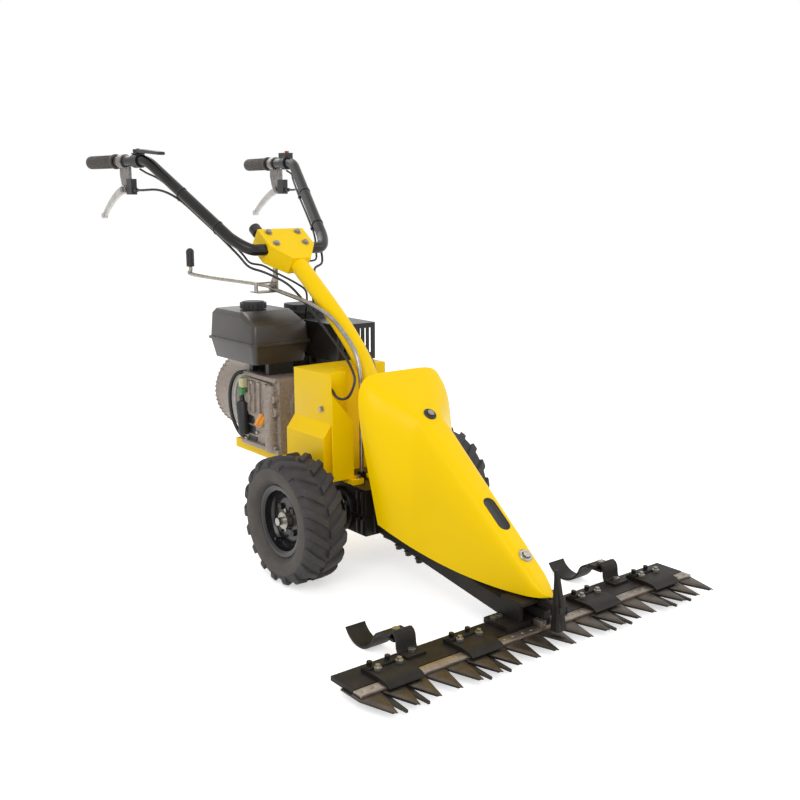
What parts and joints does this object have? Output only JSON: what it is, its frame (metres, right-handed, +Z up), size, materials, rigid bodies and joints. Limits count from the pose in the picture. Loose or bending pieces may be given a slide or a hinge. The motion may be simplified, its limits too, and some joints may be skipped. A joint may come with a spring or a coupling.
{
  "type": "sickle bar mower",
  "caption": "Walk-behind sickle bar mower: a toothed knife bar slides at the front, under a long tapering cowl, ahead of two lugged wheels, a petrol engine and a wide handlebar.",
  "frame": {"origin": "on the ground, under the middle of the overall box", "axes": "+Z up, -Y towards the knife bar, +Y towards the operator, -X at the operator's right hand"},
  "size_m": [1.0384, 1.826, 1.1053],
  "materials": {
    "yellow_paint": "gloss paint",
    "black_paint": "satin paint",
    "dark_steel": "oiled, darkened",
    "tyre_rubber": "matt",
    "soft_rubber": "matt",
    "cable_sheath": "satin",
    "black_plastic": "fine grain",
    "red_plastic": "smooth",
    "orange_plastic": "smooth",
    "bare_steel": "ground",
    "zinc_steel": "zinc plated",
    "cast_aluminium": "as cast",
    "cast_iron": "as cast",
    "tank_paint": "satin paint"
  },
  "bodies": {
    "chassis": {"gear_case": "cast_aluminium", "drive_case": "black_paint", "drive_belt": "soft_rubber", "engine_cradle": "yellow_paint", "belt_guard": "yellow_paint", "guard_front_plate": "yellow_paint", "steering_column": "yellow_paint", "column_head": "yellow_paint", "frame_bolts": "zinc_steel", "frame_cables": "cable_sheath", "gate_bracket": "zinc_steel", "engine_block": "cast_aluminium", "cylinder_head": "cast_aluminium", "blower_housing": "tank_paint", "recoil_cover": "cast_aluminium", "fuel_tank": "tank_paint", "air_cleaner": "black_plastic", "muffler": "tank_paint", "neck_beams": "black_paint", "bar_carrier": "black_paint", "cutter_bar": "black_paint", "finger_plates": "dark_steel", "knife_clips": "black_paint", "bar_bolts": "zinc_steel", "skids": "black_paint", "centre_divider": "black_paint", "front_cover": "yellow_paint", "cover_brackets": "black_paint"},
    "wheel_right": {"tyre_right": "tyre_rubber", "rim_right": "black_paint", "wheel_hub_right": "dark_steel", "half_shaft_right": "bare_steel"},
    "wheel_left": {"tyre_left": "tyre_rubber", "rim_left": "black_paint", "wheel_hub_left": "dark_steel", "half_shaft_left": "bare_steel"},
    "crankshaft": {"engine_shaft": "bare_steel", "engine_pulley": "cast_iron"},
    "input": {"input_shaft": "bare_steel"},
    "crank": {"knife_crank": "bare_steel"},
    "knife": {"knife": "bare_steel"},
    "rocker": {"rocker_arm": "dark_steel"},
    "handlebar": {"handlebar_tube": "black_paint", "grip_right": "soft_rubber", "grip_left": "soft_rubber", "lever_bracket_right": "cast_aluminium", "lever_bracket_left": "cast_aluminium", "throttle_base": "black_plastic", "stop_switch": "black_plastic", "handle_cables": "cable_sheath"},
    "lock_knob": {"lock_knob": "black_plastic"},
    "lever_right": {"clutch_lever_right": "cast_aluminium"},
    "lever_left": {"clutch_lever_left": "cast_aluminium"},
    "throttle": {"throttle_lever": "black_plastic"},
    "stop_button": {"stop_button": "red_plastic"},
    "gear_shift": {"shift_rod": "zinc_steel", "shift_knob": "black_plastic"},
    "fuel_cap": {"fuel_cap": "black_plastic"},
    "dipstick": {"oil_dipstick": "orange_plastic"},
    "recoil_handle": {"recoil_handle": "black_plastic"}
  },
  "joints": [
    {"name": "wheel_right_spin", "type": "hinge", "parent": "chassis", "child": "wheel_right", "pos_m": [-0.24, -0.16555, 0.165], "axis": [1, 0, 0], "continuous": true},
    {"name": "wheel_left_spin", "type": "hinge", "parent": "chassis", "child": "wheel_left", "pos_m": [0.24, -0.16555, 0.165], "axis": [1, 0, 0], "continuous": true},
    {"name": "crankshaft_spin", "type": "hinge", "parent": "chassis", "child": "crankshaft", "pos_m": [0, 0.13445, 0.385], "axis": [0, 1, 0], "continuous": true},
    {"name": "input_spin", "type": "hinge", "parent": "chassis", "child": "input", "pos_m": [0, -0.08555, 0.19], "axis": [0, 1, 0], "continuous": true},
    {"name": "crank_spin", "type": "hinge", "parent": "chassis", "child": "crank", "pos_m": [0, -0.34555, 0.15], "axis": [0, 1, 0], "continuous": true},
    {"name": "knife_stroke", "type": "slide", "parent": "chassis", "child": "knife", "axis": [1, 0, 0], "range_m": [-0.025, 0.025]},
    {"name": "rocker_swing", "type": "hinge", "parent": "chassis", "child": "rocker", "pos_m": [0, -0.56555, 0.09], "axis": [0, 0, 1], "range_deg": [-6, 6]},
    {"name": "handlebar_tilt", "type": "hinge", "parent": "chassis", "child": "handlebar", "pos_m": [0, 0.21914, 0.81911], "axis": [1, 0, 0], "range_deg": [-8, 8]},
    {"name": "lock_knob_turn", "type": "hinge", "parent": "chassis", "child": "lock_knob", "pos_m": [-0.058, 0.21914, 0.81911], "axis": [0, 0.8243, 0.5661], "range_deg": [0, 270]},
    {"name": "lever_right_squeeze", "type": "hinge", "parent": "handlebar", "child": "lever_right", "pos_m": [-0.26386, 0.69714, 0.98361], "axis": [1, 0, 0], "range_deg": [0, 35], "stiffness_Nm_per_rad": 1.2, "springref_deg": -14.32},
    {"name": "lever_left_squeeze", "type": "hinge", "parent": "handlebar", "child": "lever_left", "pos_m": [0.26386, 0.69714, 0.98361], "axis": [1, 0, 0], "range_deg": [0, 35], "stiffness_Nm_per_rad": 1.2, "springref_deg": -14.32},
    {"name": "throttle_swing", "type": "hinge", "parent": "handlebar", "child": "throttle", "pos_m": [-0.25561, 0.62292, 1.08732], "axis": [0, 0, 1], "range_deg": [0, 60]},
    {"name": "stop_press", "type": "slide", "parent": "handlebar", "child": "stop_button", "axis": [0, 0, -1], "range_m": [0, 0.003], "stiffness_N_per_m": 300, "springref_m": -0.001},
    {"name": "gear_shift_swing", "type": "hinge", "parent": "chassis", "child": "gear_shift", "pos_m": [-0.04, -0.18555, 0.365], "axis": [0, 0, 1], "range_deg": [0, 5.5]},
    {"name": "fuel_cap_turn", "type": "hinge", "parent": "chassis", "child": "fuel_cap", "pos_m": [-0.09052, 0.26469, 0.665], "axis": [0, 0, 1], "range_deg": [0, 90]},
    {"name": "dipstick_turn", "type": "hinge", "parent": "chassis", "child": "dipstick", "pos_m": [-0.12142, 0.18445, 0.33842], "axis": [-0.8211, 0, 0.5708], "range_deg": [0, 360]},
    {"name": "recoil_pull", "type": "slide", "parent": "chassis", "child": "recoil_handle", "axis": [0, 1, 0], "range_m": [0, 0.05], "stiffness_N_per_m": 40, "springref_m": -0.02}
  ],
  "couplings": [
    {"joint": "rocker_swing", "follows": "knife_stroke", "rad_per_m": 3.992},
    {"joint": "input_spin", "follows": "crankshaft_spin", "ratio": 0.7949},
    {"joint": "crank_spin", "follows": "crankshaft_spin", "ratio": 0.25}
  ]
}
